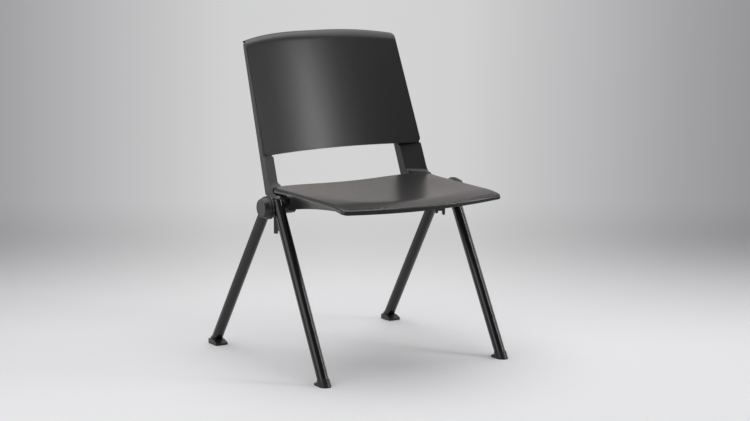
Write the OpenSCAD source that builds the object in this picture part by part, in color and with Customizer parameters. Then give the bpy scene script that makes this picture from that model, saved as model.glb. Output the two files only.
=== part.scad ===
// Armless stacking chair: two inverted-V steel leg pairs, a moulded seat and a sprung reclining back.
// The sitter faces -Y. Left is the sitter's left, at +X. Most places are measured from the pivot axis,
// the line along X about which the back reclines.

/* [Pivot] */
// Height of the pivot axis above the floor
pivot_z = 403; // [385:1:425]
// Pivot axis ahead of the middle of the chair's outline
pivot_ahead = 3.6; // [0:0.5:12]
// How far the back reclines
recline_travel = 10; // [4:1:12]

/* [Legs] */
// Outside diameter of the front leg tubes
leg_d = 28; // [27:0.5:29]
// Outside diameter of the rear leg tubes
rear_leg_d = 28; // [26:0.5:28.5]
// Wall of the leg tubes
leg_wall = 2; // [1.2:0.1:3]
// Middle of the leg tubes at the pivot, from the chair's centre
leg_x = 259; // [254:1:266]
// Middle of the front foot from the chair's centre
front_foot_x = 263; // [256:1:275]
// Middle of the rear foot from the chair's centre
rear_foot_x = 269; // [256:1:280]
// Front leg's axis at the floor, ahead of the pivot
front_reach = 242.5; // [220:0.5:260]
// Rear leg's axis at the floor, behind the pivot
rear_reach = 301.5; // [280:0.5:320]
// Front leg's axis ahead of the pivot axis, at its height
front_set = 22.5; // [21:0.1:24]
// Rear leg's axis behind the pivot axis, at its height
rear_set = 34.6; // [33:0.1:36]
// Centre of the front leg's domed end above the pivot
front_end_rise = 16; // [12:1:18]
// End of the rear leg's axis above the pivot
rear_end_rise = 12; // [8:1:16]

/* [Glides] */
// Height of the glide's sleeve along the leg's axis
glide_h = 16; // [14:1:22]
// Wall of the glide's sleeve
glide_wall = 1.6; // [1.2:0.1:2.5]
// Nylon under the tube's end
glide_sole = 3; // [2:0.5:5]
// Plug of the glide up inside the tube
glide_plug = 26; // [16:1:40]
// Reach of the front glide's pad behind the leg's axis
front_pad_heel = 32; // [28:1:38]
// Width of the front glide's pad
front_pad_w = 30; // [26:1:31]
// Height of the front pad's edge
front_pad_edge = 2.5; // [2:0.5:4]
// Reach of the rear glide's pad ahead of the leg's axis
rear_pad_toe = 39; // [34:1:44]
// Reach of the rear glide's pad behind the leg's axis
rear_pad_heel = 6.5; // [4:0.5:8]
// Width of the rear glide's pad
rear_pad_w = 35; // [31:1:38]
// Height of the rear pad's edge
rear_pad_edge = 4.5; // [3:0.5:6]

/* [Hub] */
// Diameter of the collar's outer flange
collar_d = 58; // [54:1:60]
// Thickness of the collar along the pivot axis
collar_t = 11.5; // [10:0.5:14]
// Diameter of the domed cap at the collar
cap_d = 54; // [51:1:55]
// Diameter of the cap's flat face
cap_face_d = 45; // [40:1:47]
// Depth of the domed cap
cap_t = 13; // [9:0.5:16]
// Radius of the hub block between the leg tubes
hub_r = 26; // [24:0.5:27]
// Diameter of the hub bolt's shank
bolt_d = 8; // [6:0.5:8.5]
// Length of the hub bolt's shank
bolt_len = 50; // [40:1:55]

/* [Cross tube] */
// Outside diameter of the cross tube
cross_d = 20; // [18:0.5:21]
// Wall of the cross tube
cross_wall = 2.5; // [1.5:0.1:3]
// Length of the threaded plug in each end of the cross tube
plug_len = 30; // [20:1:40]

/* [Torsion unit] */
// Length of the arm's boss along the pivot axis
boss_len = 28; // [24:1:32]
// Radius of the arm's boss
boss_r = 18.5; // [18:0.1:19.5]
// Wall of the inner sleeve
sleeve_wall = 1; // [0.8:0.1:1.2]
// Thickness of the rubber ring
rubber_t = 3; // [2.5:0.1:3.2]
// Wall of the outer housing
housing_wall = 1; // [0.8:0.1:1.2]
// Thickness of the nylon thrust washer
washer_t = 3.5; // [2:0.1:4]
// Thickness of the stop collar
stop_t = 6; // [4:0.5:8]
// Angle that the stop tooth takes up round the axis
tooth_angle = 16; // [10:1:24]
// Height of the stop tooth along the radius
tooth_h = 1.6; // [1.2:0.1:1.8]

/* [Seat] */
// Width of the seat over its skirts
seat_w = 464; // [454:1:466]
// Front edge's middle ahead of the pivot
seat_front = 301; // [280:1:320]
// Rear edge behind the pivot
seat_rear = 74; // [70:1:78]
// Top of the seat's rear edge above the pivot
seat_rise = 38.5; // [38:0.1:40]
// Fall of the seat towards the front, in degrees
seat_pitch = 0.9; // [0:0.1:1.5]
// Start of the waterfall front, ahead of the pivot
fall_start = 212; // [190:1:230]
// Radius of the waterfall front
fall_r = 380; // [300:5:600]
// Bow of the front edge in plan
front_bow = 21.5; // [10:0.5:40]
// Radius of the front corners in plan
front_corner_r = 16; // [8:1:30]
// Height of the front rim
rim_h = 9.8; // [6.5:0.1:11]
// Wall of the seat and its skirts
seat_wall = 5; // [4:0.1:6]
// Depth of the dished middle
dish_depth = 8; // [5:0.5:9]
// Radius of the dished middle
dish_r = 2300; // [2000:10:2600]
// Middle of the dish ahead of the pivot
dish_y = 115; // [95:1:120]
// Lowest point of the skirt, below the pivot
skirt_low = 7.5; // [6:0.5:9]
// Rear end of the skirt ahead of the pivot
skirt_end = 22; // [21.5:0.5:26]
// Arch of the skirt's lower edge
skirt_arch = 4.3; // [1:0.1:8]
// Front end of the hub recess ahead of the pivot
recess_front = 31; // [28:1:34]

/* [Back] */
// Front crease of the arm behind the pivot, at the seat's level
crease_y = 59; // [57:0.5:62]
// Outer face of the arm at the seat, from the chair's centre
arm_x = 238; // [236:0.5:239]
// Recline of the back at rest, in degrees
recline = 21.6; // [18:0.1:24]
// Inward lean of each arm, in degrees
arm_taper = 2.1; // [1:0.1:3]
// Width of the arm's front strip
strip_w = 44; // [38:1:48]
// Angle of the front strip in plan
strip_skew = 40; // [30:1:44]
// Depth of the arm from front to back, at the seat
arm_depth = 28; // [26:0.5:32]
// Depth of the arm at its top
arm_top_depth = 18; // [15:0.5:22]
// Wall of the arm's channel
arm_wall = 5; // [4:0.1:6]
// Length of the arm above the seat
arm_len = 372; // [360:1:374]
// Radius of the fillet where the arm's strip meets the seat
foot_fillet = 15; // [13:0.5:17]
// Seam between the seat's rear corner and the arm's foot
seam_gap = 0.8; // [0.5:0.1:1.5]
// Pitch of the cross ribs in the arm's channel
rib_pitch = 54; // [40:1:70]

/* [Panel] */
// Radius of the panel's hollow front
panel_r = 740; // [600:10:900]
// Thickness of the panel
panel_t = 6; // [4.5:0.1:7]
// Space between the panel's edge and the arm behind it
panel_gap = 3.5; // [3.2:0.1:4]
// Front of the panel's edge ahead of the arm's front strip
panel_proud = 3; // [0:0.1:4]
// Width of the panel at its lower corners
panel_w_low = 469; // [458:1:472]
// Width of the panel at its upper corners
panel_w_top = 446; // [432:1:450]
// Lower corners above the seat, along the back
panel_low = 82; // [70:1:100]
// Rise of the lower edge in the middle
low_rise = 14.3; // [0:0.1:20]
// Upper corners above the seat, along the back
panel_top = 388; // [374:1:400]
// Rise of the upper edge in the middle
top_rise = 28; // [15:1:40]
// Radius of the upper corners
top_corner_r = 17; // [8:1:24]
// Radius of the lower corners
low_corner_r = 12; // [6:1:20]
// Radius of the rolled upper edge
roll_r = 18; // [12:0.5:20]
// Height of the lower pair of fixing bosses above the seat
lower_fix_h = 150; // [140:1:165]
// Height of the upper pair of fixing bosses above the seat
upper_fix_h = 318; // [310:1:325]
// Radius of the fixing bosses
fix_boss_r = 7; // [6:0.1:8]

/* [Seat brackets] */
// Middle of the bracket's web from the chair's centre
bracket_x = 155; // [130:1:170]
// Top of the bracket's flange above the pivot
bracket_rise = 21; // [19.5:0.1:22]
// Thickness of the bracket's steel
bracket_t = 3; // [2:0.1:4]
// Width of the bracket's flange
bracket_w = 24; // [20:1:30]
// Front seat screw ahead of the pivot
front_screw_y = 150; // [120:1:165]
// Rear seat screw behind the pivot
rear_screw_y = 45; // [35:1:52]
// Steel of the bracket beyond its screws
bracket_end = 16; // [12:1:22]
// Radius of the seat's screw bosses
seat_boss_r = 7; // [6:0.1:9]

/* [Screws] */
// Diameter of the screws
screw_d = 4.8; // [4:0.1:5]
// Diameter of the screw heads
screw_head_d = 10; // [8:0.5:11]
// Height of the screw heads
screw_head_h = 3; // [2:0.1:3.5]
// Depth of the screw thread in plastic
screw_bite = 9; // [7:0.5:10]

/* [Stacking fork] */
// Height of the fork's crotch below the pivot
fork_drop = 58; // [54:1:66]
// Length of the outer prong below the crotch
prong_long = 11; // [6:1:16]
// Length of the inner prong below the crotch
prong_short = 7; // [4:1:12]
// Width of each prong
prong_w = 8; // [6:0.5:9]
// Width of the notch between the prongs
notch_w = 10; // [8:0.5:12]
// Thickness of the fork
fork_t = 8; // [6:0.5:9]
// Angle of the fork in plan
fork_skew = 34; // [20:1:40]
// Middle of the fork, inboard of the legs' middle
fork_in = 14.5; // [13.5:0.1:15]
// Middle of the fork behind the pivot
fork_y = 11; // [7:0.5:13]

/* [Hidden] */
$fn = 48;

// Clearances: bolts in their holes, the side play of the boss, the turning fit of the rubber ring
bolt_clear = 0.2;
side_play = 0.5;
turn_fit = 0.05;
flange_gap = 0.5;

pivot = [0, -pivot_ahead, pivot_z];
leg_r = leg_d / 2;
rear_leg_r = rear_leg_d / 2;
front_foot = [front_foot_x, pivot[1] - front_reach, 0];
front_knee = [leg_x, pivot[1] - front_set, pivot_z];
rear_foot = [rear_foot_x, pivot[1] + rear_reach, 0];
rear_knee = [leg_x, pivot[1] + rear_set, pivot_z];

// Stations along the pivot axis, from the chair's centre outwards
hub_in = leg_x - leg_r;
hub_out = leg_x + leg_r + flange_gap;
cap_in = hub_out + collar_t;
boss_out = hub_in - washer_t - side_play;
boss_in = boss_out - boss_len;
stop_out = boss_in - side_play;
stop_in = stop_out - stop_t;
head_t = bolt_d;
head_r = bolt_d * 0.8;
head_in = cap_in - head_t - 0.5;
spigot_r = 12;

// Rings round the pivot axis
cross_r = cross_d / 2;
sleeve_r = cross_r + sleeve_wall;
rubber_r = sleeve_r + rubber_t;
housing_in_r = rubber_r + turn_fit;
housing_r = housing_in_r + housing_wall;
tooth_in_r = housing_r + 0.5;
tooth_out_r = tooth_in_r + tooth_h;
pocket_depth = 5;
pocket_play = 0.5;

// Seat's lines, measured from the pivot
recess_top = seat_rise - 10.5;
recess_low = recess_top - 30;
rear_rim_low = seat_rise - 20;
seat_half = seat_w / 2;

// Arm's lines
strip_dy = strip_w * tan(strip_skew) * cos(recline);
panel_step = panel_t + panel_gap - panel_proud;
foot_lean = atan((sin(recline) * cos(strip_skew) - tan(arm_taper) * sin(strip_skew)) / cos(recline));
toe_p = -foot_fillet * (1 - sin(foot_lean)) / cos(foot_lean);
toe_y = crease_y + toe_p / cos(strip_skew);
toe_h = seat_rise - recess_top;
web_top = recess_top - 1.2;
web_w = arm_x - boss_in - 0.5;
// Thickness of the arm square to its strip, for each unit of its depth
arm_across = strip_w / norm([strip_w, strip_dy]);
panel_sag = panel_r - sqrt(panel_r * panel_r - panel_w_low * panel_w_low / 4);
screw_r = screw_d / 2;
screw_x = bracket_x - bracket_w / 2 + bracket_t / 2;

function arc(c, r, a0, a1, n) =
    [for (i = [0:n]) c + r * [cos(a0 + (a1 - a0) * i / n), sin(a0 + (a1 - a0) * i / n)]];
function mirrored(pts) = concat(pts, [for (i = [len(pts) - 1:-1:0]) [-pts[i][0], pts[i][1]]]);
function tangent_point(p, r, turn) =
    let (a = atan2(p[1], p[0]) + turn * acos(r / norm(p))) r * [cos(a), sin(a)];
// Height of a shallow arch that rises by "rise" over a half span
function arch(x, half, rise) =
    let (r = (half * half + rise * rise) / (2 * rise)) sqrt(r * r - x * x) - (r - rise);

module at_pivot() {
    translate(pivot) children();
}

module handed(side) {
    if (side > 0) {
        children();
    } else {
        mirror([1, 0, 0]) children();
    }
}

// A solid of constant outline in Y and Z, between two stations in X
module slab_x(x0, x1) {
    translate([x0, 0, 0]) rotate([90, 0, 90]) linear_extrude(x1 - x0) children();
}

module disc_x(x0, x1, r) {
    translate([x0, 0, 0]) rotate([0, 90, 0]) cylinder(h = x1 - x0, r = r);
}

module ring_x(x0, x1, r_out, r_in) {
    difference() {
        disc_x(x0, x1, r_out);
        disc_x(x0 - 1, x1 + 1, r_in);
    }
}

// Part of a ring round the pivot axis, between two angles
module sector_x(x0, x1, r_in, r_out, a0, a1) {
    translate([x0, 0, 0])
        rotate([90, 0, 90])
            rotate([0, 0, a0])
                rotate_extrude(angle = a1 - a0)
                    translate([r_in, 0]) square([r_out - r_in, x1 - x0]);
}

module turned_x() {
    rotate([90, 0, 90]) rotate_extrude() children();
}

// Frame whose +Z runs up a leg's axis, from the height z of that axis
module along_leg(foot, knee, z) {
    run = knee - foot;
    translate(foot + run * (z / run[2]))
        rotate([0, acos(run[2] / norm(run)), atan2(run[1], run[0])])
            children();
}

// A rod along a leg's axis, between two heights of that axis
module leg_rod(foot, knee, z0, z1, r) {
    along_leg(foot, knee, z0) cylinder(h = (z1 - z0) * norm(knee - foot) / knee[2], r = r);
}

// Sine of the leg's lean, which sets how high its square-cut end has to start
function leg_lean(foot, knee) = sqrt(1 - pow((knee - foot)[2] / norm(knee - foot), 2));
function tube_start(foot, knee, r) = glide_sole + r * leg_lean(foot, knee);

// Legs: the front one ends in a dome, the rear one is cut to fit round it and welded
module front_leg(side) {
    z0 = tube_start(front_foot, front_knee, leg_r);
    z1 = pivot_z + front_end_rise;
    length = (z1 - z0) * norm(front_knee - front_foot) / pivot_z;
    color("#17181a") handed(side)
        difference() {
            along_leg(front_foot, front_knee, z0)
                rotate_extrude()
                    polygon(concat([[0, 0]], [[leg_r, 0]], arc([0, length], leg_r, 0, 90, 9)));
            leg_rod(front_foot, front_knee, z0 - 5, z1, leg_r - leg_wall);
        }
}

module rear_leg(side) {
    z0 = tube_start(rear_foot, rear_knee, rear_leg_r);
    z1 = pivot_z + rear_end_rise;
    color("#17181a") handed(side)
        difference() {
            leg_rod(rear_foot, rear_knee, z0, z1, rear_leg_r);
            leg_rod(rear_foot, rear_knee, z0 - 5, z1 - 45, rear_leg_r - leg_wall);
            leg_rod(front_foot, front_knee, pivot_z / 2, pivot_z + 40, leg_r);
        }
}

// Glides: a sleeve round the tube's end, a plug inside it and a bevelled pad on the floor.
// The pad points towards the middle of the chair, so the rear glides are the front ones turned round.
module glide_body(foot, knee, r, outline, side_line) {
    sleeve_r = r + glide_wall;
    at_axis = glide_h * (knee[1] - foot[1]) / knee[2];
    fall = 0.22;
    inward = sign(at_axis);
    intersection() {
        union() {
            leg_rod(foot, knee, -20, glide_h * 2, sleeve_r);
            intersection() {
                translate([foot[0], foot[1], 0])
                    rotate([0, 0, inward > 0 ? 0 : 180])
                        linear_extrude(16) polygon(outline);
                translate([0, foot[1], 0])
                    slab_x(foot[0] - 30, foot[0] + 30)
                        polygon([for (p = side_line) [p[0] * inward, p[1]]]);
            }
        }
        translate([0, foot[1] + at_axis, 0])
            slab_x(foot[0] - 60, foot[0] + 60)
                polygon([
                    [-60 * inward, 0],
                    [60 * inward, 0],
                    [60 * inward, glide_h - 60 * fall],
                    [-60 * inward, glide_h + 60 * fall]
                ]);
    }
}

module glide_plug(foot, knee, r) {
    z0 = tube_start(foot, knee, r);
    plug_clear = 0.05;
    leg_rod(foot, knee, z0, z0 + glide_plug, r - leg_wall - plug_clear);
}

module front_glide(side) {
    half = front_pad_w / 2;
    corner = 9;
    outline = concat(
        [[-half, 0]],
        [[half, 0]],
        arc([half - corner, front_pad_heel - corner], corner, 0, 90, 6),
        arc([-half + corner, front_pad_heel - corner], corner, 90, 180, 6)
    );
    side_line = [
        [0, 0],
        [front_pad_heel + 1, 0],
        [front_pad_heel + 1, front_pad_edge],
        [leg_r + 3, 9.5],
        [0, 9.5]
    ];
    color("#1d1d1f") handed(side) {
        difference() {
            glide_body(front_foot, front_knee, leg_r, outline, side_line);
            leg_rod(front_foot, front_knee, tube_start(front_foot, front_knee, leg_r), 60, leg_r);
        }
        glide_plug(front_foot, front_knee, leg_r);
    }
}

module rear_glide(side) {
    half = rear_pad_w / 2;
    corner = 3;
    bevel_w = half - rear_leg_r - glide_wall;
    outline = concat(
        arc([half - corner, rear_pad_toe - corner], corner, 0, 90, 3),
        arc([-half + corner, rear_pad_toe - corner], corner, 90, 180, 3),
        arc([-half + corner, -rear_pad_heel + corner], corner, 180, 270, 3),
        arc([half - corner, -rear_pad_heel + corner], corner, 270, 360, 3)
    );
    side_line = [
        [-rear_pad_heel, 0],
        [rear_pad_toe + 1, 0],
        [rear_pad_toe + 1, rear_pad_edge],
        [rear_leg_r + 9, 12.5],
        [-rear_pad_heel, 12.5]
    ];
    color("#1d1d1f") handed(side) {
        difference() {
            intersection() {
                glide_body(rear_foot, rear_knee, rear_leg_r, outline, side_line);
                translate([rear_foot[0], rear_foot[1] + rear_pad_heel, 0])
                    rotate([90, 0, 0])
                        linear_extrude(80)
                            polygon([
                                [-half - 0.1, 0],
                                [half + 0.1, 0],
                                [half + 0.1, rear_pad_edge],
                                [half - bevel_w, 13],
                                [half - bevel_w, 40],
                                [-half + bevel_w, 40],
                                [-half + bevel_w, 13],
                                [-half - 0.1, rear_pad_edge]
                            ]);
            }
            leg_rod(rear_foot, rear_knee, tube_start(rear_foot, rear_knee, rear_leg_r), 60, rear_leg_r);
        }
        glide_plug(rear_foot, rear_knee, rear_leg_r);
    }
}

// Hub: a steel block welded in the crotch of the two legs, and to the cross tube
module hub_block(side) {
    color("#1a1a1c") handed(side)
        difference() {
            at_pivot() disc_x(hub_in, hub_out, hub_r);
            leg_rod(front_foot, front_knee, pivot_z - 80, pivot_z + 80, leg_r);
            leg_rod(rear_foot, rear_knee, pivot_z - 80, pivot_z + 80, rear_leg_r);
            at_pivot() disc_x(hub_in - 1, hub_out + 1, bolt_d / 2 + bolt_clear);
        }
}

// Collar: a grooved ring that the bolt clamps to the hub block
module hub_collar(side) {
    groove = 2;
    rim = collar_d / 2;
    color("#202022") handed(side) at_pivot()
        difference() {
            turned_x()
                polygon([
                    [0, hub_out],
                    [rim - 1, hub_out],
                    [rim, hub_out + 1],
                    [rim, hub_out + 4],
                    [rim - 1, hub_out + 5],
                    [rim - 2.5, hub_out + 5],
                    [rim - 2.5, hub_out + 5 + groove],
                    [rim - 1, hub_out + 5 + groove],
                    [rim - 0.5, hub_out + 6 + groove],
                    [rim - 0.5, cap_in - 1],
                    [rim - 1.5, cap_in],
                    [0, cap_in]
                ]);
            disc_x(hub_out - 1, cap_in + 1, bolt_d / 2 + bolt_clear);
            disc_x(head_in, cap_in + 1, spigot_r + turn_fit);
        }
}

// Cap with a flat face and a sloping shoulder, pushed into the collar's bore over the bolt's head
module hub_cap(side) {
    cap_r = cap_d / 2;
    face_r = cap_face_d / 2;
    edge_r = 1.2;
    wall = 2.4;
    color("#1e1e20") handed(side) at_pivot()
        turned_x()
            polygon(concat(
                [[spigot_r - 2, cap_in - 6]],
                [[spigot_r, cap_in - 6]],
                [[spigot_r, cap_in]],
                [[cap_r, cap_in]],
                [[cap_r, cap_in + 2.5]],
                [for (a = [25:20:85])
                    [face_r - edge_r + edge_r * cos(a), cap_in + cap_t - edge_r + edge_r * sin(a)]],
                [[0, cap_in + cap_t]],
                [[0, cap_in + cap_t - wall]],
                [[face_r - wall, cap_in + cap_t - wall]],
                [[cap_r - wall - 1, cap_in + 3]],
                [[spigot_r - 2, cap_in + 3]]
            ));
}

module hub_bolt(side) {
    color("silver") handed(side) at_pivot()
        difference() {
            union() {
                disc_x(head_in, head_in + head_t, head_r);
                disc_x(head_in - bolt_len, head_in, bolt_d / 2);
            }
            translate([head_in + head_t / 2, 0, 0])
                rotate([0, 90, 0]) cylinder(h = head_t, r = bolt_d * 0.43, $fn = 6);
        }
}

module cross_tube() {
    color("#1a1a1c") at_pivot() ring_x(-hub_in, hub_in, cross_r, cross_r - cross_wall);
}

module tube_plug(side) {
    color("gray") handed(side) at_pivot()
        ring_x(hub_in - plug_len, hub_in, cross_r - cross_wall, bolt_d / 2);
}

// Torsion unit: sleeve and rubber on the cross tube, housing in the arm's boss
module torsion_sleeve(side) {
    color("silver") handed(side) at_pivot() ring_x(boss_in, boss_out, sleeve_r, cross_r);
}

module torsion_rubber(side) {
    color("#101010") handed(side) at_pivot() ring_x(boss_in + 1, boss_out - 1, rubber_r, sleeve_r);
}

module torsion_housing(side) {
    color("silver") handed(side) at_pivot() ring_x(boss_in, boss_out, housing_r, housing_in_r);
}

module thrust_washer(side) {
    color("#dcd8c8") handed(side) at_pivot() ring_x(hub_in - washer_t, hub_in, cross_r + 7.5, cross_r);
}

module stop_collar(side) {
    color("gray") handed(side) at_pivot() {
        ring_x(stop_in, stop_out, tooth_out_r + 0.8, cross_r);
        sector_x(stop_out - 1, boss_in + pocket_depth - pocket_play, tooth_in_r, tooth_out_r,
            -90 - tooth_angle / 2, -90 + tooth_angle / 2);
    }
}

// Stacking fork: straddles the leg's hub of the chair below when chairs are stacked
module stacking_fork(side) {
    half = notch_w / 2 + prong_w;
    mid = (notch_w + prong_w) / 2;
    tip_y = prong_w / 2 - fork_drop;
    shoulder = -hub_r - 4;
    color("#3a3a3c") handed(side) at_pivot()
        difference() {
            translate([leg_x - fork_in, fork_y, 0])
                rotate([90, 0, 180 - fork_skew])
                    translate([0, 0, -fork_t / 2])
                        linear_extrude(fork_t)
                            polygon(concat(
                                arc([-mid, tip_y - prong_long], prong_w / 2, 180, 360, 6),
                                [[-notch_w / 2, -fork_drop]],
                                [[notch_w / 2, -fork_drop]],
                                arc([mid, tip_y - prong_short], prong_w / 2, 180, 360, 6),
                                [[half, shoulder - 6]],
                                [[half - 6, shoulder]],
                                [[1, shoulder]],
                                [[1, -10]],
                                [[-half, -10]]
                            ));
            disc_x(leg_x - 60, hub_out + 1, hub_r);
        }
}

// Seat
function seat_top(y) = seat_rise - (seat_rear - y) * tan(seat_pitch);
// Waterfall front: the seat's top line bends down on an arc
function fall_line(drop) =
    let (
        reach = seat_front + 4 - fall_start,
        end = asin(reach / fall_r + sin(seat_pitch)) - seat_pitch
    )
    [for (i = [0:10]) let (a = seat_pitch + end * i / 10) [
        -fall_start - fall_r * (sin(a) - sin(seat_pitch)),
        seat_top(-fall_start) - fall_r * (cos(seat_pitch) - cos(a)) - drop
    ]];
function skirt_line() =
    let (
        front = [-fall_start - 33, seat_top(-fall_start - 33) - rim_h - 2],
        rear = [-skirt_end, -skirt_low],
        run = rear - front,
        up = [-run[1], run[0]] / norm(run)
    )
    [for (i = [0:12]) let (t = i / 12)
        front + run * t + up * arch((2 * t - 1) * norm(run) / 2, norm(run) / 2, skirt_arch)];

module seat_side() {
    polygon(concat(
        [[seat_rear + 6, rear_rim_low]],
        [[seat_rear + 6, seat_top(seat_rear + 6)]],
        fall_line(0),
        [for (i = [10:-1:4]) fall_line(rim_h)[i]],
        skirt_line(),
        [[-skirt_end, rear_rim_low]]
    ));
}

module seat_hollow_side(skin) {
    polygon(concat(
        [[seat_rear + 6, -60]],
        [[seat_rear + 6, seat_top(seat_rear + 6) - skin]],
        fall_line(skin),
        [[-seat_front - 4, -60]]
    ));
}

function seam_y(x, inset) =
    toe_y + (arm_x - x) * tan(strip_skew) - (seam_gap + inset) / cos(strip_skew);
function seam_x(y, inset) =
    arm_x - (y + (seam_gap + inset) / cos(strip_skew) - toe_y) / tan(strip_skew);

module seat_plan(inset, front_inset) {
    half = seat_half - inset;
    front = seat_front - front_inset;
    rear = seat_rear - inset;
    corner = front_corner_r - min(inset, front_corner_r / 2);
    bow_r = (seat_half * seat_half + front_bow * front_bow) / (2 * front_bow);
    bow_c = [0, bow_r - front];
    corner_x = half - corner;
    corner_y = bow_c[1] - sqrt(pow(bow_r - corner, 2) - corner_x * corner_x);
    turn = atan2(corner_y - bow_c[1], corner_x);
    polygon(mirrored(concat(
        arc(bow_c, bow_r, -89, turn, 12),
        arc([corner_x, corner_y], corner, turn, 0, 6),
        [[half, seam_y(half, inset)]],
        [[seam_x(rear, inset), rear]]
    )));
}

module dish(grow) {
    translate([0, -dish_y, seat_top(-dish_y) - dish_depth + dish_r]) sphere(r = dish_r + grow, $fn = 200);
}

module seat_screw_places() {
    for (x = [-screw_x, screw_x], y = [-front_screw_y, rear_screw_y]) {
        translate([x, y, bracket_rise]) children();
    }
}

module seat_shell() {
    skin = seat_wall + 1;
    color("#2b2b2d") at_pivot()
        difference() {
            union() {
                difference() {
                    intersection() {
                        slab_x(-seat_half, seat_half) seat_side();
                        translate([0, 0, -80]) linear_extrude(160) seat_plan(0, 0);
                    }
                    difference() {
                        intersection() {
                            slab_x(-seat_half, seat_half) seat_hollow_side(skin);
                            translate([0, 0, -80]) linear_extrude(160) seat_plan(seat_wall, 12);
                        }
                        dish(skin);
                    }
                    dish(0);
                    for (side = [-1, 1]) {
                        handed(side)
                            slab_x(seat_half - 40, seat_half + 5)
                                polygon(concat(
                                    arc([-recess_front + 15, (recess_top + recess_low) / 2], 15, 90, 270, 10),
                                    [[100, recess_low]],
                                    [[100, recess_top]]
                                ));
                    }
                }
                for (x = [-screw_x, screw_x], y = [-front_screw_y, rear_screw_y]) {
                    translate([x, y, bracket_rise])
                        cylinder(h = seat_top(y) - skin + 0.6 - bracket_rise, r = seat_boss_r);
                }
            }
            seat_screw_places() translate([0, 0, -1]) cylinder(h = screw_bite + 1.5, r = screw_r);
        }
}

module seat_screws() {
    color("silver") at_pivot()
        seat_screw_places() {
            translate([0, 0, -bracket_t]) cylinder(h = bracket_t + screw_bite, r = screw_r);
            translate([0, 0, -bracket_t - screw_head_h]) cylinder(h = screw_head_h, r = screw_head_d / 2);
        }
}

// Seat bracket: a welded angle whose web is bored for the cross tube
module seat_bracket(side) {
    front = -front_screw_y - bracket_end;
    rear = rear_screw_y + bracket_end;
    color("#1a1a1c") handed(side) at_pivot()
        difference() {
            union() {
                slab_x(bracket_x - bracket_t / 2, bracket_x + bracket_t / 2)
                    polygon([
                        [front, bracket_rise],
                        [front, bracket_rise - 10],
                        [-cross_r - 12, -cross_r - 2],
                        [cross_r + 6, -cross_r - 2],
                        [rear, bracket_rise - 10],
                        [rear, bracket_rise]
                    ]);
                translate([bracket_x + bracket_t / 2 - bracket_w, front, bracket_rise - bracket_t])
                    cube([bracket_w, rear - front, bracket_t]);
            }
            disc_x(bracket_x - bracket_w, bracket_x + bracket_w, cross_r);
            seat_screw_places() translate([0, 0, -bracket_t - 1]) cylinder(h = bracket_t + 2, r = screw_r + 0.2);
        }
}

// Back
module at_back() {
    at_pivot() translate([0, crease_y, seat_rise]) rotate([-recline, 0, 0]) children();
}

module in_arm() {
    at_back() translate([arm_x, 0, 0]) rotate([0, -arm_taper, 0]) children();
}

// Straight part of the arm between two heights: its back closes in on the front towards the top
module arm_bar(h0, h1, step) {
    in_arm()
        difference() {
            translate([0, 0, h0])
                linear_extrude(h1 - h0)
                    polygon([
                        [0, step],
                        [-strip_w, step + strip_dy],
                        [-strip_w, strip_dy + arm_depth + 2],
                        [0, arm_depth + 2]
                    ]);
            rotate([0, 0, atan2(strip_dy, -strip_w) - 180])
                slab_x(-strip_w * 2, strip_w)
                    polygon([
                        [arm_depth * arm_across, 0],
                        [arm_depth * arm_across, -30],
                        [arm_depth * arm_across + 60, -30],
                        [arm_depth * arm_across + 60, arm_len + 10],
                        [arm_top_depth * arm_across, arm_len + 10],
                        [arm_top_depth * arm_across, arm_len]
                    ]);
        }
}

// Hollow of the arm, open at the back
module arm_channel(h0, h1, step) {
    slope = strip_dy / strip_w;
    wall_y = step + arm_wall * sqrt(1 + slope * slope);
    in_arm()
        translate([0, 0, h0])
            linear_extrude(h1 - h0)
                polygon([
                    [-arm_wall, wall_y + arm_wall * slope],
                    [-strip_w + arm_wall, wall_y + (strip_w - arm_wall) * slope],
                    [-strip_w + arm_wall, strip_dy + arm_depth + 30],
                    [-arm_wall, strip_dy + arm_depth + 30]
                ]);
}

// Foot of the arm: the strip runs out in a fillet level with the seat
module arm_foot() {
    up = foot_fillet * (1 - sin(foot_lean));
    foot_p = arm_depth * cos(strip_skew) - 7;
    intersection() {
        at_pivot()
            translate([arm_x, crease_y, seat_rise])
                rotate([90, 0, 90 - strip_skew])
                    translate([0, 0, -90])
                        linear_extrude(120)
                            polygon(concat(
                                [[toe_p, -toe_h]],
                                arc([toe_p, foot_fillet], foot_fillet, -90, -foot_lean, 12),
                                [[foot_p, up]],
                                [[foot_p, -17]],
                                [[toe_p + 10, -17]]
                            ));
        at_pivot() translate([arm_x - strip_w, -20, -20]) cube([strip_w, 160, 120]);
    }
}

// Web from the foot down to the boss on the pivot axis
module arm_web() {
    root_r = boss_r - 0.5;
    low = [crease_y + arm_depth / cos(recline) - 7, seat_rise - 18.5];
    slab_x(arm_x - web_w, arm_x)
        polygon([
            [toe_y + 2, web_top],
            tangent_point([toe_y, web_top], root_r, 1),
            [0, 0],
            tangent_point(low, root_r, -1),
            low,
            [low[0] + 2, web_top]
        ]);
}

// Panel's own frame, ahead of the arms' creases
module at_panel() {
    at_back() translate([0, -panel_proud, 0]) children();
}

// Frame on the arm's front face at a fixing: +Z runs forward, out of the face
module at_fix(h) {
    along = 0.6;
    in_arm()
        translate([-strip_w * along, panel_step + strip_dy * along, h])
            rotate([0, 0, atan2(strip_dy, -strip_w) - 180])
                rotate([90, 0, 0])
                    children();
}

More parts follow.
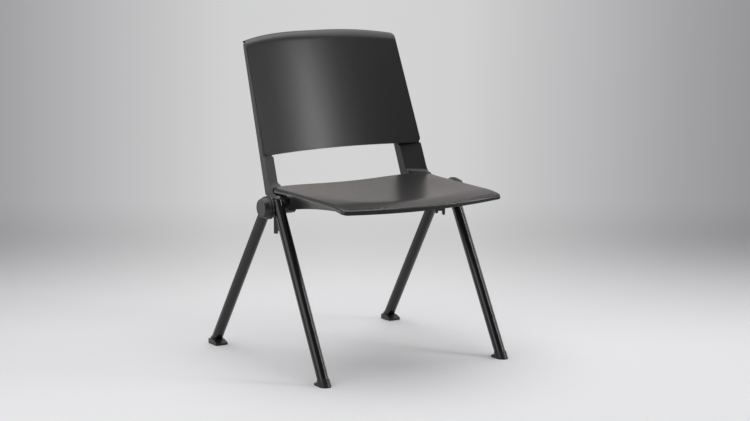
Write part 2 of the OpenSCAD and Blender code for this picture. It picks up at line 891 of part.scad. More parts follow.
// Everything above a line that runs a small gap under the panel's lower edge, for the arm's shoulder
module panel_underline() {
    gap = 1.5;
    x0 = arm_x - strip_w - 20;
    x1 = arm_x + 10;
    rotate([90, 0, 0])
        translate([0, 0, -90])
            linear_extrude(120)
                polygon(concat(
                    [[x1, panel_top]],
                    [[x0, panel_top]],
                    [for (i = [0:8]) let (x = x0 + (panel_w_low / 2 - x0) * i / 8) [x, low_line(x) - gap]],
                    [[x1, panel_low - gap]]
                ));
}

fix_heights = [lower_fix_h, upper_fix_h];

module back_arm(side) {
    step_h = panel_low - 2;
    shoulder = 7;
    channel_low = 34;
    rib = 3;
    color("#232325") handed(side)
        difference() {
            union() {
                difference() {
                    arm_bar(-12, step_h + shoulder, 0);
                    at_panel() panel_underline();
                }
                arm_bar(step_h, arm_len, panel_step);
                arm_foot();
                at_pivot() disc_x(boss_in, boss_out, boss_r);
                at_pivot() arm_web();
            }
            arm_channel(channel_low, step_h - rib, 0);
            for (h = [step_h:rib_pitch:arm_len - rib_pitch / 2]) {
                arm_channel(h, min(h + rib_pitch, arm_len) - rib, panel_step);
            }
            at_pivot() disc_x(boss_in - 1, boss_out + 1, housing_r);
            at_pivot()
                sector_x(boss_in - 1, boss_in + pocket_depth, tooth_in_r - 0.3, tooth_out_r + 0.3,
                    -90 - tooth_angle / 2 - 0.6, -90 + tooth_angle / 2 + recline_travel + 0.6);
            for (h = fix_heights) {
                at_fix(h) translate([0, 0, -arm_wall - 1]) cylinder(h = arm_wall + 2, r = screw_r + 0.2);
            }
        }
}

// Panel
function panel_edge_x(h) =
    (panel_w_low + (panel_w_top - panel_w_low) * (h - panel_low) / (panel_top - panel_low)) / 2;
// The upper edge is flatter in the middle than an arc, and falls faster near the corners
function top_line(x) = panel_top + top_rise * (1 - pow(abs(x) * 2 / panel_w_top, 2.5));
function low_line(x) = panel_low + arch(x, panel_w_low / 2, low_rise);
// How much a corner of radius r takes off the half width, at a depth d inside the corner's level
function corner_cut(d, r) = d >= r ? 0 : r - sqrt(r * r - pow(r - max(d, 0), 2));

// Panel and its rolled upper edge: one skin, run up the front, over the roll and down the back
module panel_skin() {
    stations = 24;
    turns = 7;
    end_turn = 106;
    roll_wall = panel_t - 0.8;
    centre_y = panel_sag - panel_r;
    up_steps = concat([0, 0.8, 3, 6, 11], [for (i = [1:6]) 11 + 40 * i]);
    points = [for (i = [0:stations]) let (
            u = sin(90 * (2 * i / stations - 1)),
            low = low_line(u * panel_w_low / 2),
            high = top_line(u * panel_w_top / 2),
            flat = high - roll_r - low,
            rise = [for (d = up_steps) d * flat / (up_steps[10] + 20)],
            bends = [for (k = [0:turns]) end_turn * k / turns],
            section = concat(
                [for (d = rise) [0, low + d]],
                [for (a = bends) [roll_r * (1 - cos(a)), high - roll_r + roll_r * sin(a)]],
                [for (k = [turns:-1:0]) let (a = bends[k])
                    [roll_r - (roll_r - roll_wall) * cos(a), high - roll_r + (roll_r - roll_wall) * sin(a)]],
                [for (k = [10:-1:0]) [panel_t, low + rise[k]]]
            )
        )
        for (p = section) let (
            half = panel_edge_x(p[1])
                - corner_cut(p[1] - low, low_corner_r)
                - corner_cut(high - p[1], top_corner_r),
            turn = asin(u * half / panel_r)
        )
        [(panel_r + p[0]) * sin(turn), centre_y + (panel_r + p[0]) * cos(turn), p[1]]];
    n = len(points) / (stations + 1);
    sides = [for (i = [0:stations - 1], j = [0:n - 1]) let (
            a = i * n + j,
            b = i * n + (j + 1) % n
        )
        for (t = [[a, b, b + n], [a, b + n, a + n]]) t];
    half_n = n / 2;
    ends = [for (j = [0:half_n - 2], base = [0, stations * n]) let (
            a = base + j,
            b = base + j + 1,
            c = base + n - 2 - j,
            d = base + n - 1 - j
        )
        for (t = base == 0 ? [[b, a, d], [c, b, d]] : [[a, b, d], [b, c, d]]) t];
    polyhedron(points, concat(sides, ends), convexity = 4);
}

module back_panel() {
    color("#2b2b2d")
        difference() {
            union() {
                at_panel() panel_skin();
                for (side = [-1, 1], h = fix_heights) {
                    difference() {
                        handed(side) at_fix(h) cylinder(h = 24, r = fix_boss_r);
                        at_panel() translate([0, panel_sag - panel_r, 0])
                            cylinder(h = panel_top, r = panel_r + panel_t / 3, $fn = 240);
                    }
                }
            }
            for (side = [-1, 1], h = fix_heights) {
                handed(side) at_fix(h) translate([0, 0, -1]) cylinder(h = screw_bite + 1.5, r = screw_r);
            }
        }
}

module panel_screws() {
    color("silver")
        for (side = [-1, 1], h = fix_heights) {
            handed(side) at_fix(h) {
                translate([0, 0, -arm_wall]) cylinder(h = arm_wall + screw_bite, r = screw_r);
                translate([0, 0, -arm_wall - screw_head_h])
                    cylinder(h = screw_head_h, r = screw_head_d / 2);
            }
        }
}

seat_shell();
seat_screws();
cross_tube();
seat_bracket(1);  // left_seat_bracket
seat_bracket(-1);  // right_seat_bracket
hub_block(1);  // left_hub_block
hub_block(-1);  // right_hub_block
front_leg(1);  // left_front_leg
front_leg(-1);  // right_front_leg
rear_leg(1);  // left_rear_leg
rear_leg(-1);  // right_rear_leg
front_glide(1);  // left_front_glide
front_glide(-1);  // right_front_glide
rear_glide(1);  // left_rear_glide
rear_glide(-1);  // right_rear_glide
stacking_fork(1);  // left_stacking_fork
stacking_fork(-1);  // right_stacking_fork
hub_collar(1);  // left_hub_collar
hub_collar(-1);  // right_hub_collar
hub_cap(1);  // left_hub_cap
hub_cap(-1);  // right_hub_cap
hub_bolt(1);  // left_hub_bolt
hub_bolt(-1);  // right_hub_bolt
tube_plug(1);  // left_tube_plug
tube_plug(-1);  // right_tube_plug
thrust_washer(1);  // left_thrust_washer
thrust_washer(-1);  // right_thrust_washer
stop_collar(1);  // left_stop_collar
stop_collar(-1);  // right_stop_collar
torsion_sleeve(1);  // left_torsion_sleeve
torsion_sleeve(-1);  // right_torsion_sleeve
torsion_rubber(1);  // left_torsion_rubber
torsion_rubber(-1);  // right_torsion_rubber
torsion_housing(1);  // left_torsion_housing
torsion_housing(-1);  // right_torsion_housing
back_arm(1);  // left_back_arm
back_arm(-1);  // right_back_arm
back_panel();
panel_screws();
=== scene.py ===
import math
import bmesh
import bpy
from mathutils import Matrix, Vector


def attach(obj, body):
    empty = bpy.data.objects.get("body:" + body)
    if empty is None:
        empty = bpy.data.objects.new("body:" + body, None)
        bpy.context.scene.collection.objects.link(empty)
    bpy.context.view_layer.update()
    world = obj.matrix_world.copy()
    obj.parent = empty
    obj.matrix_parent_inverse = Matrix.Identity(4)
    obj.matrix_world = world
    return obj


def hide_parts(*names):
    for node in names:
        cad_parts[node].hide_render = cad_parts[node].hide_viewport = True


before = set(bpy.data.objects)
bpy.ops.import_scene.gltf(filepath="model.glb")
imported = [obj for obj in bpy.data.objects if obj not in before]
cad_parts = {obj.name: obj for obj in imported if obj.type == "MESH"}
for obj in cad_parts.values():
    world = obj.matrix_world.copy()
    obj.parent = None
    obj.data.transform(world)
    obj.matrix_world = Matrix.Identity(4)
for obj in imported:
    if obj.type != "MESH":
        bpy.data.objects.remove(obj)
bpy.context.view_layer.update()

# Camera: a long portrait lens about 1.27 m above the floor, ahead of the chair and to its right, so that the
# seat is seen at a grazing angle.
view_turn = math.radians(-32.64186)
view_drop = math.radians(9.87255)
camera_data = bpy.data.cameras.new("portrait_lens")
camera_data.sensor_width = 36
camera_data.lens = 98.707
camera = bpy.data.objects.new("camera", camera_data)
camera.location = (-2.74965, -4.35197, 1.26521)
camera.rotation_euler = (math.pi / 2 - view_drop, 0, view_turn)
bpy.context.scene.collection.objects.link(camera)
bpy.context.scene.camera = camera
bpy.context.scene.view_settings.view_transform = "Standard"


# Studio floor: pale, with painted light. Its colour is painted brightest round the chair and greyer away from
# it, a painted fall-off of the studio light, and the far part, painted darker to the sides, glows as a
# painted backdrop.
def linear(colour):
    """An sRGB hex colour as the shader's linear red, green, blue and alpha."""
    parts = [int(colour[i:i + 2], 16) / 255 for i in (1, 3, 5)]
    return [c / 12.92 if c <= 0.04045 else ((c + 0.055) / 1.055) ** 2.4 for c in parts] + [1.0]


def add(tree, kind, links=(), **settings):
    """Adds a node with its settings; links pairs each input with another node's output."""
    node = tree.nodes.new(kind)
    for name, value in settings.items():
        if name in node.inputs:
            node.inputs[name].default_value = value
        else:
            setattr(node, name, value)
    for socket, source in links:
        tree.links.new(source, node.inputs[socket])
    return node


def new_material(name):
    material = bpy.data.materials.new(name)
    material.use_nodes = True
    material.node_tree.nodes.clear()
    return material, material.node_tree


def set_stops(ramp, stops):
    """Gives a colour ramp its stops, each a place and an sRGB hex colour."""
    elements = ramp.color_ramp.elements
    for place, colour in stops[1:-1]:
        elements.new(place).color = linear(colour)
    for element, (place, colour) in ((elements[0], stops[0]), (elements[-1], stops[-1])):
        element.position = place
        element.color = linear(colour)


floor_half = 40
floor_mesh = bmesh.new()
bmesh.ops.create_grid(floor_mesh, x_segments=2, y_segments=2, size=floor_half)
floor_data = bpy.data.meshes.new("studio_floor")
floor_mesh.to_mesh(floor_data)
floor_mesh.free()
floor = bpy.data.objects.new("studio_floor", floor_data)
bpy.context.scene.collection.objects.link(floor)

floor_painted_light, tree = new_material("studio_floor_painted_light")
where = add(tree, "ShaderNodeTexCoord")
turned = add(tree, "ShaderNodeMapping", [("Vector", where.outputs["Object"])], vector_type="POINT",
             Rotation=(0, 0, -view_turn))
axes = add(tree, "ShaderNodeSeparateXYZ", [("Vector", turned.outputs["Vector"])])
# How far a spot lies to the side, as a share of its distance ahead of the camera. The glow's middle is a
# little left of the camera's line of sight, and the painted light is at its darkest at glow_half.
camera_distance, nearest_spot = 5.148, 2.5
glow_left, glow_half = 0.012, 0.2
depth = add(tree, "ShaderNodeMath", [(0, axes.outputs["Y"])], operation="ADD")
depth.inputs[1].default_value = camera_distance
depth_safe = add(tree, "ShaderNodeMath", [(0, depth.outputs[0])], operation="MAXIMUM")
depth_safe.inputs[1].default_value = nearest_spot
side = add(tree, "ShaderNodeMath", [(0, axes.outputs["X"]), (1, depth_safe.outputs[0])], operation="DIVIDE")
side_shift = add(tree, "ShaderNodeMath", [(0, side.outputs[0])], operation="ADD")
side_shift.inputs[1].default_value = glow_left
side_abs = add(tree, "ShaderNodeMath", [(0, side_shift.outputs[0])], operation="ABSOLUTE")
side_unit = add(tree, "ShaderNodeMapRange", [("Value", side_abs.outputs[0])],
                **{"From Min": 0.0, "From Max": glow_half})
# Painted light: these colours are lighter round the chair and darker to the sides and far off, a painted
# fall-off of the studio light.
far_colour, near_colour, closest_colour = [
    add(tree, "ShaderNodeValToRGB", [("Fac", side_unit.outputs["Result"])]) for _ in range(3)]
set_stops(far_colour, [(0.0, "#d4d4d5"), (0.28, "#d1d1d2"), (0.42, "#c6c6c7"), (0.62, "#b6b6b8"),
                       (0.82, "#a3a3a6"), (1.0, "#969699")])
set_stops(near_colour, [(0.0, "#e0e0e2"), (0.5, "#dcdcde"), (0.75, "#d8d8da"), (1.0, "#d3d3d5")])
set_stops(closest_colour, [(0.0, "#dcdcde"), (0.5, "#dcdcde"), (1.0, "#dbdbdd")])
# Where one tone of painted light gives way to the next, in metres ahead of the chair as the camera sees it
near_share = add(tree, "ShaderNodeMapRange", [("Value", axes.outputs["Y"])], interpolation_type="SMOOTHSTEP",
                 **{"From Min": -0.85, "From Max": -0.1})
near_painted_light = add(tree, "ShaderNodeMix", [
    ("Factor", near_share.outputs["Result"]), (6, closest_colour.outputs["Color"]),
    (7, near_colour.outputs["Color"])], data_type="RGBA")
far_share = add(tree, "ShaderNodeMapRange", [("Value", axes.outputs["Y"])], interpolation_type="SMOOTHSTEP",
                **{"From Min": 0.0, "From Max": 1.8})
painted_light_colour = add(tree, "ShaderNodeMix", [
    ("Factor", far_share.outputs["Result"]), (6, near_painted_light.outputs[2]),
    (7, far_colour.outputs["Color"])], data_type="RGBA")
# Painted glow: from 0.9 m to 2.4 m ahead, camera and glossy rays see the floor give out its painted colour as
# light, standing in for a lit backdrop.
glow_share = add(tree, "ShaderNodeMapRange", [("Value", axes.outputs["Y"])], interpolation_type="SMOOTHSTEP",
                 **{"From Min": 0.9, "From Max": 2.4})
dull = add(tree, "ShaderNodeBsdfDiffuse", [("Color", painted_light_colour.outputs[2])])
rays = add(tree, "ShaderNodeLightPath")
seen = add(tree, "ShaderNodeMath", [(0, rays.outputs["Is Camera Ray"]), (1, rays.outputs["Is Glossy Ray"])],
           operation="ADD")
seen_share = add(tree, "ShaderNodeMath", [(0, seen.outputs[0]), (1, glow_share.outputs["Result"])],
                 operation="MULTIPLY")
# The painted glow itself: the floor's painted colour given out as light.
painted_glow = add(tree, "ShaderNodeEmission", [("Color", painted_light_colour.outputs[2])])
floor_glow_mix = add(tree, "ShaderNodeMixShader", [
    (0, seen_share.outputs[0]), (1, dull.outputs[0]), (2, painted_glow.outputs[0])])
add(tree, "ShaderNodeOutputMaterial", [("Surface", floor_glow_mix.outputs[0])])
floor_data.materials.append(floor_painted_light)


# Studio light: one wide softbox overhead, a tall narrow strip at the front right, a wide softbox at the left,
# and two tall ones, low at the left rear and at the right. The room is grey, lighter behind the chair than
# behind the camera.
def softbox(name, place, aim, width, height, strength):
    """A rectangular lamp, in metres; its strength is how bright its face looks, where 1 is white."""
    lamp = bpy.data.lights.new(name, "AREA")
    lamp.shape = "RECTANGLE"
    lamp.size = width
    lamp.size_y = height
    lamp.energy = strength * math.pi * width * height
    holder = bpy.data.objects.new(name, lamp)
    holder.location = place
    holder.rotation_euler = (Vector(aim) - Vector(place)).to_track_quat("-Z", "Y").to_euler()
    bpy.context.scene.collection.objects.link(holder)


softbox("overhead_softbox", (0.1, 0.2, 2.9), (0, 0, 0), width=3.4, height=3.4, strength=2.06)
softbox("front_right_strip", (1.42, -1.35, 1.26), (0, 0, 0.45), width=0.16, height=1.36, strength=16.5)
softbox("left_rear_softbox", (-1.75, 1.85, 0.62), (0, 0, 0.45), width=0.9, height=1.2, strength=2.1)
softbox("left_softbox", (-2.15, -0.45, 1.2), (0, 0, 0.3), width=1.9, height=1.6, strength=1.5)
softbox("right_rear_softbox", (2.1, -0.2, 0.85), (0, 0, 0.4), width=0.35, height=1.3, strength=2.0)

room = bpy.data.worlds.new("grey_room")
bpy.context.scene.world = room
room.use_nodes = True
tree = room.node_tree
tree.nodes.clear()
ahead = (-math.sin(view_turn), math.cos(view_turn), 0)
where = add(tree, "ShaderNodeTexCoord")
facing = add(tree, "ShaderNodeVectorMath", [(0, where.outputs["Generated"])], operation="DOT_PRODUCT")
facing.inputs[1].default_value = ahead
facing_unit = add(tree, "ShaderNodeMapRange", [("Value", facing.outputs["Value"])],
                  **{"From Min": -1.0, "From Max": 1.0})
room_colour = add(tree, "ShaderNodeValToRGB", [("Fac", facing_unit.outputs["Result"])])
set_stops(room_colour, [(0.0, "#6c6c6d"), (0.3, "#646465"), (0.5, "#7e7e7f"), (0.8, "#c0bdbc"),
                        (1.0, "#d6d1cf")])
rays = add(tree, "ShaderNodeLightPath")
lit = add(tree, "ShaderNodeBackground", [("Color", room_colour.outputs["Color"])], Strength=1.0)
pale = add(tree, "ShaderNodeBackground", Color=linear("#c8c8ca"), Strength=1.0)
either = add(tree, "ShaderNodeMixShader", [(0, rays.outputs["Is Camera Ray"]), (1, lit.outputs[0]),
                                          (2, pale.outputs[0])])
add(tree, "ShaderNodeOutputWorld", [("Surface", either.outputs[0])])


# Welded frame: each side's two steel tubes meet at a hub block in the crotch, a cross tube joins the sides
# under the seat, and two angle brackets welded to it carry the seat. All is powder-coated semi-gloss black,
# a smooth film with a faint orange-peel wave, rubbed a little duller in places.
def finish_nodes(material, *names):
    """Gives CAD nodes their finish."""
    for name in names:
        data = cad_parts[name].data
        data.materials.clear()
        data.materials.append(material)


coat_peel_mm, coat_peel_depth_mm = 1.6, 0.03
coat_rub_mm, coat_edge_mm = 33.3333, 1.5
coat_roughness = 0.18
powder_coat, tree = new_material("semi_gloss_powder_coat")
where = add(tree, "ShaderNodeTexCoord")
peel = add(tree, "ShaderNodeTexNoise", [("Vector", where.outputs["Object"])],
           Scale=1000 / coat_peel_mm, Detail=2.0, Roughness=0.5)
rubbed = add(tree, "ShaderNodeTexNoise", [("Vector", where.outputs["Object"])],
             Scale=1000 / coat_rub_mm, Detail=4.0, Roughness=0.6)
sheen = add(tree, "ShaderNodeMapRange", [("Value", rubbed.outputs["Fac"])], **{
    "From Min": 0.3, "From Max": 0.7, "To Min": coat_roughness - 0.04, "To Max": coat_roughness + 0.05})
soft_edge = add(tree, "ShaderNodeBevel", samples=6, Radius=coat_edge_mm / 1000)
relief = add(tree, "ShaderNodeBump", [
    ("Height", peel.outputs["Fac"]), ("Normal", soft_edge.outputs["Normal"])],
    Strength=0.6, Distance=coat_peel_depth_mm / 1000)
film = add(tree, "ShaderNodeBsdfPrincipled", [
    ("Roughness", sheen.outputs["Result"]), ("Normal", relief.outputs["Normal"])],
    **{"Base Color": linear("#0a0a0b"), "IOR": 1.55})
add(tree, "ShaderNodeOutputMaterial", [("Surface", film.outputs[0])])
finish_nodes(powder_coat, "cross_tube", "left_hub_block", "right_hub_block", "left_front_leg",
             "right_front_leg", "left_rear_leg", "right_rear_leg", "left_seat_bracket", "right_seat_bracket")


# Glides: injection-moulded black nylon, each a plug and sleeve pushed on to the tube's end over a bevelled
# pad. The pads are scuffed by the floor.
def moulded(name, colour, roughness, grain_mm, depth_mm, edge_mm, scuff=0.02):
    """A moulded plastic: spark-eroded grain, slow changes in the sheen, and softly broken edges."""
    material, tree = new_material(name)
    where = add(tree, "ShaderNodeTexCoord")
    patch_mm = 16.66667
    # The real grain is about 0.2 mm and would not show, so it is drawn coarser
    grain = add(tree, "ShaderNodeTexNoise", [("Vector", where.outputs["Object"])],
                Scale=1000 / grain_mm, Detail=1.5, Roughness=0.5)
    patches = add(tree, "ShaderNodeTexNoise", [("Vector", where.outputs["Object"])],
                  Scale=1000 / patch_mm, Detail=5.0, Roughness=0.6)
    sheen = add(tree, "ShaderNodeMapRange", [("Value", patches.outputs["Fac"])], **{
        "From Min": 0.3, "From Max": 0.7, "To Min": roughness - scuff, "To Max": roughness + scuff})
    tone = add(tree, "ShaderNodeMapRange", [("Value", grain.outputs["Fac"])],
               **{"From Min": 0.3, "From Max": 0.7, "To Min": 0.9, "To Max": 1.1})
    shade = add(tree, "ShaderNodeVectorMath", [("Scale", tone.outputs["Result"])], operation="SCALE")
    shade.inputs[0].default_value = linear(colour)[:3]
    soft_edge = add(tree, "ShaderNodeBevel", samples=6, Radius=edge_mm / 1000)
    relief = add(tree, "ShaderNodeBump", [
        ("Height", grain.outputs["Fac"]), ("Normal", soft_edge.outputs["Normal"])],
        Strength=1.0, Distance=depth_mm / 1000)
    body = add(tree, "ShaderNodeBsdfPrincipled", [
        ("Base Color", shade.outputs[0]), ("Roughness", sheen.outputs["Result"]),
        ("Normal", relief.outputs["Normal"])], IOR=1.49)
    add(tree, "ShaderNodeOutputMaterial", [("Surface", body.outputs[0])])
    return material


glide_nylon = moulded("scuffed_glide_nylon", "#161617", roughness=0.36, grain_mm=1.0, depth_mm=0.03,
                      edge_mm=1.0, scuff=0.09)
finish_nodes(glide_nylon, "left_front_glide", "right_front_glide", "left_rear_glide", "right_rear_glide")


# Torsion units: a turned sleeve on the cross tube, a rubber ring bonded round it and a housing pressed into
# the arm's boss, with a phosphated stop collar inside and an acetal thrust washer outside.
def bare_metal(name, colour, roughness):
    """Metal left bare or plated, with fine tool marks."""
    material, tree = new_material(name)
    where = add(tree, "ShaderNodeTexCoord")
    mark_mm, mark_depth_mm = 1.111111, 0.02
    marks = add(tree, "ShaderNodeTexNoise", [("Vector", where.outputs["Object"])],
                Scale=1000 / mark_mm, Detail=3.0)
    sheen = add(tree, "ShaderNodeMapRange", [("Value", marks.outputs["Fac"])],
                **{"From Min": 0.3, "From Max": 0.7, "To Min": roughness - 0.08, "To Max": roughness + 0.1})
    relief = add(tree, "ShaderNodeBump", [("Height", marks.outputs["Fac"])],
                 Strength=0.5, Distance=mark_depth_mm / 1000)
    body = add(tree, "ShaderNodeBsdfPrincipled", [
        ("Roughness", sheen.outputs["Result"]), ("Normal", relief.outputs["Normal"])],
        **{"Base Color": linear(colour), "Metallic": 1.0})
    add(tree, "ShaderNodeOutputMaterial", [("Surface", body.outputs[0])])
    return material


turned_steel = bare_metal("turned_steel", "#8f8f90", 0.3)
phosphated_steel = bare_metal("phosphated_steel", "#2a2a2e", 0.5)
bonded_rubber = moulded("bonded_rubber", "#121212", roughness=0.7, grain_mm=1.0, depth_mm=0.05,
                        edge_mm=0.5)
natural_acetal = moulded("natural_acetal", "#cfc9b8", roughness=0.35, grain_mm=1.0, depth_mm=0.02,
                         edge_mm=0.5)
finish_nodes(turned_steel, "left_torsion_sleeve", "right_torsion_sleeve", "left_torsion_housing",
             "right_torsion_housing", "left_tube_plug", "right_tube_plug")
finish_nodes(bonded_rubber, "left_torsion_rubber", "right_torsion_rubber")
finish_nodes(phosphated_steel, "left_stop_collar", "right_stop_collar")
finish_nodes(natural_acetal, "left_thrust_washer", "right_thrust_washer")

# Hubs: a grooved nylon collar clamped to each hub block by a zinc-plated bolt, and a smooth nylon cap pushed
# into the collar over the bolt's head.
hub_nylon = moulded("moulded_hub_nylon", "#1c1c1d", roughness=0.3, grain_mm=0.8, depth_mm=0.012,
                    edge_mm=0.5)
bright_zinc = bare_metal("bright_zinc_plate", "#a9a9a4", 0.34)
finish_nodes(hub_nylon, "left_hub_collar", "right_hub_collar", "left_hub_cap", "right_hub_cap")
finish_nodes(bright_zinc, "left_hub_bolt", "right_hub_bolt")

# Stacking forks: a nylon tongue under each hub, with a notch between two prongs that sits on the frame of
# the chair below it in a stack.
fork_nylon = moulded("fork_nylon", "#222223", roughness=0.4, grain_mm=1.0, depth_mm=0.03, edge_mm=1.2)
finish_nodes(fork_nylon, "left_stacking_fork", "right_stacking_fork")

# Seat: one injection moulding in spark-textured polypropylene, 5 mm thick. The top is dished and falls over
# a waterfall front. A fine groove runs just inside its rounded edge, and skirts at the sides and a rim all
# round stiffen it. The skirts are scooped out round the hubs. Lengths here are in millimetres from the pivot.
polypropylene = moulded("spark_textured_polypropylene", "#252424", roughness=0.3, grain_mm=1.4,
                        depth_mm=0.012, edge_mm=0.8)
pivot_place = Vector((0, -3.6, 403))
seat_half = 232.0
seat_rear = 74.0
seat_rise = 38.5
seat_slope = math.radians(0.9)
fall_start, fall_round = -212.0, 380.0
dish_middle, dish_depth, dish_round = -115.0, 8.0, 2300.0
front_middle, front_bow = -300.8, 21.5
front_bow_round = (seat_half ** 2 + front_bow ** 2) / (2 * front_bow)
corner_round, corner_shrink, front_shrink = 16.0, 0.6, 0.75
edge_inset = 9.0
# The seam against the arm's foot, slanting across each rear corner; the sides flare out a little beside it
seam_turn, seam_side, seam_gap = math.radians(40), 48.1, 0.8
seam_share = 0.08
seam_flare, flare_share = 4.5, 0.1
seam_narrowing, narrowing_share = 0.25, 0.05
seam_normal = Vector((math.sin(seam_turn), math.cos(seam_turn)))
seam_far = seam_normal.dot(Vector((seat_half, seam_side)))
rim_start, rim_height = -249.6, 10.6
skirt_front, skirt_rear = Vector((-245.0, 21.69)), Vector((-22.0, -7.5))
skirt_arch = 4.3
scoop_front, scoop_round, scoop_middle = -31.0, 15.0, 13.0
rear_rim_half, rear_rim_height = 192.0, 20.0


def seat_line(y):
    """Height of the seat's top over its sides."""
    if y > fall_start:
        return seat_rise - (seat_rear - y) * math.tan(seat_slope)
    turn = math.asin((fall_start - y) / fall_round + math.sin(seat_slope))
    return (seat_rise - (seat_rear - fall_start) * math.tan(seat_slope)
            - fall_round * (math.cos(seat_slope) - math.cos(turn)))


def seat_top(x, y):
    """The same with the dish in the middle, whose edge is softened."""
    dish = seat_line(dish_middle) - dish_depth + dish_round - math.sqrt(
        dish_round ** 2 - x ** 2 - (y - dish_middle) ** 2)
    line = seat_line(y)
    soft = 1.2
    low = min(dish, line)
    return low - soft * math.log(math.exp((low - dish) / soft) + math.exp((low - line) / soft))


def arch(place, half, rise):
    """Height of a shallow arc over its chord."""
    arc_round = (half ** 2 + rise ** 2) / (2 * rise)
    return math.sqrt(arc_round ** 2 - place ** 2) - (arc_round - rise)


def skirt_low(x, y):
    """Lower edge of the outer wall, all the way round."""
    if y <= rim_start:
        return seat_line(y) - rim_height
    if y <= scoop_front:
        share = (y - skirt_front.x) / (skirt_rear.x - skirt_front.x)
        half = (skirt_rear - skirt_front).length / 2
        bow = arch((2 * share - 1) * half, half, skirt_arch)
        return skirt_front.y + (skirt_rear.y - skirt_front.y) * share + bow
    behind = y - scoop_front
    if behind < scoop_round:
        return scoop_middle + math.sqrt(scoop_round ** 2 - (scoop_round - behind) ** 2)
    return scoop_middle + scoop_round if abs(x) > rear_rim_half else seat_rise - rear_rim_height


def front_edge(x):
    """How far ahead the bowed front edge lies."""
    return front_bow_round + front_middle - math.sqrt(front_bow_round ** 2 - x ** 2)


def seat_plan(across, along, inset, seam_inset):
    """Place in plan for across from -1 to 1 and along from 0, the rear edge, to 1, the front edge."""
    half = seat_half - inset
    rear = seat_rear - inset
    seam = seam_far - seam_inset
    rear_half = (seam - seam_normal.y * rear) / seam_normal.x
    side_start = (seam - seam_normal.x * (half + seam_flare)) / seam_normal.y
    corner = corner_round - inset * corner_shrink
    front_level = front_edge(half - corner) + inset * front_shrink
    half += seam_flare * math.exp(-(max(along - seam_share, 0) / flare_share) ** 2)
    if along < seam_share:
        share = along / seam_share
        return Vector((across * (rear_half + (half - rear_half) * share), rear + (side_start - rear) * share))
    share = (along - seam_share) / (1 - seam_share)
    level = side_start + (front_level - side_start) * share
    bite = max(corner - max(level - front_level, 0), 0)
    width = half - corner + math.sqrt(max(corner ** 2 - bite ** 2, 0)) if bite > 0 else half
    bow = (front_edge(across * width) - front_edge(width)) * share ** 3
    return Vector((across * width, level + bow))


def inset_at(along):
    """How far the rounded edge reaches in: less by the seam, where the seat lies against the arm's foot."""
    return edge_inset * (1 - seam_narrowing * math.exp(-((along - seam_share) / narrowing_share) ** 2))


# Rows of the mesh from the rear edge to the front one, closer where the skirt's scoop and rim begin and
# round the front corners
corner_level = front_edge(seat_half - corner_round)
fine_rows = [(y - seam_side) / (corner_level - seam_side) for y in (
    -16.2, -18, -21, -24, -27, -29.4, -30.7, -30.98, -31.04, -249.4)]
seat_rows = sorted(
    [seam_share * s for s in (0, 0.15, 0.38, 0.62, 0.85, 1)]
    + [seam_share + (1 - seam_share) * s for s in [k / 60 for k in range(1, 57)] + fine_rows
       + [0.947, 0.956, 0.965, 0.973, 0.979, 0.985, 0.9897, 0.9935, 0.9967, 0.9989, 1.0]])
seat_mesh = bmesh.new()
bmesh.ops.create_grid(seat_mesh, x_segments=96, y_segments=len(seat_rows) - 1, size=1)
across_layer = seat_mesh.verts.layers.float.new("across")
along_layer = seat_mesh.verts.layers.float.new("along")
for v in seat_mesh.verts:
    v[across_layer] = v.co.x
    v[along_layer] = seat_rows[round((v.co.y + 1) / 2 * (len(seat_rows) - 1))]
    x, y = seat_plan(v[across_layer], v[along_layer], inset_at(v[along_layer]), seam_gap)
    v.co = (x, y, seat_top(x, y))

# Each further ring out from the edge: its share of the inset, its fall as a share of the inset, and its
# share of the wall below. The wall hangs down to the skirt's lower edge, and at least wall_least.
wall_least = 2.0
groove = [(0.05, 0.02, 0), (0.1, 0.1, 0), (0.15, 0.11, 0), (0.2, 0.04, 0)]
rounding = [(0.2 + 0.7 * math.sin(math.radians(a)), 0.04 + 0.6 * (1 - math.cos(math.radians(a))), 0)
            for a in (12, 25, 38, 51, 64, 77)]
wall = [(0.9 + 0.1 * s ** 0.5, 0.55, s) for s in (0.04, 0.3, 0.5, 0.75, 0.97, 1.0)]
rim_edges = [e for e in seat_mesh.edges if e.is_boundary]
for out_share, fall_share, wall_share in groove + rounding + wall:
    grown = bmesh.ops.extrude_edge_only(seat_mesh, edges=rim_edges)["geom"]
    for v in (g for g in grown if isinstance(g, bmesh.types.BMVert)):
        inner = seat_plan(v[across_layer], v[along_layer], inset_at(v[along_layer]), seam_gap)
        outer = seat_plan(v[across_layer], v[along_layer], 0, 0)
        reach = min((outer - inner).length, edge_inset)
        plan = inner + (outer - inner) * out_share
        height = seat_top(inner.x, inner.y) - reach * fall_share
        low = min(skirt_low(outer.x, outer.y), height - wall_least)
        v.co = (plan.x, plan.y, height + (low - height) * wall_share)
    rim_edges = [g for g in grown if isinstance(g, bmesh.types.BMEdge) and g.is_boundary]


def riding(name, made, material, body):
    """Puts a mesh made in millimetres from the pivot in its place, as a piece that rides on a body."""
    to_frame = Matrix.Scale(0.001, 4) @ Matrix.Translation(pivot_place)
    bmesh.ops.transform(made, matrix=to_frame, verts=made.verts)
    data = bpy.data.meshes.new(name)
    made.to_mesh(data)
    made.free()
    data.polygons.foreach_set("use_smooth", [True] * len(data.polygons))
    data.set_sharp_from_angle(angle=math.radians(40))
    data.materials.append(material)
    piece = bpy.data.objects.new(name, data)
    bpy.context.scene.collection.objects.link(piece)
    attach(piece, body)
    return piece


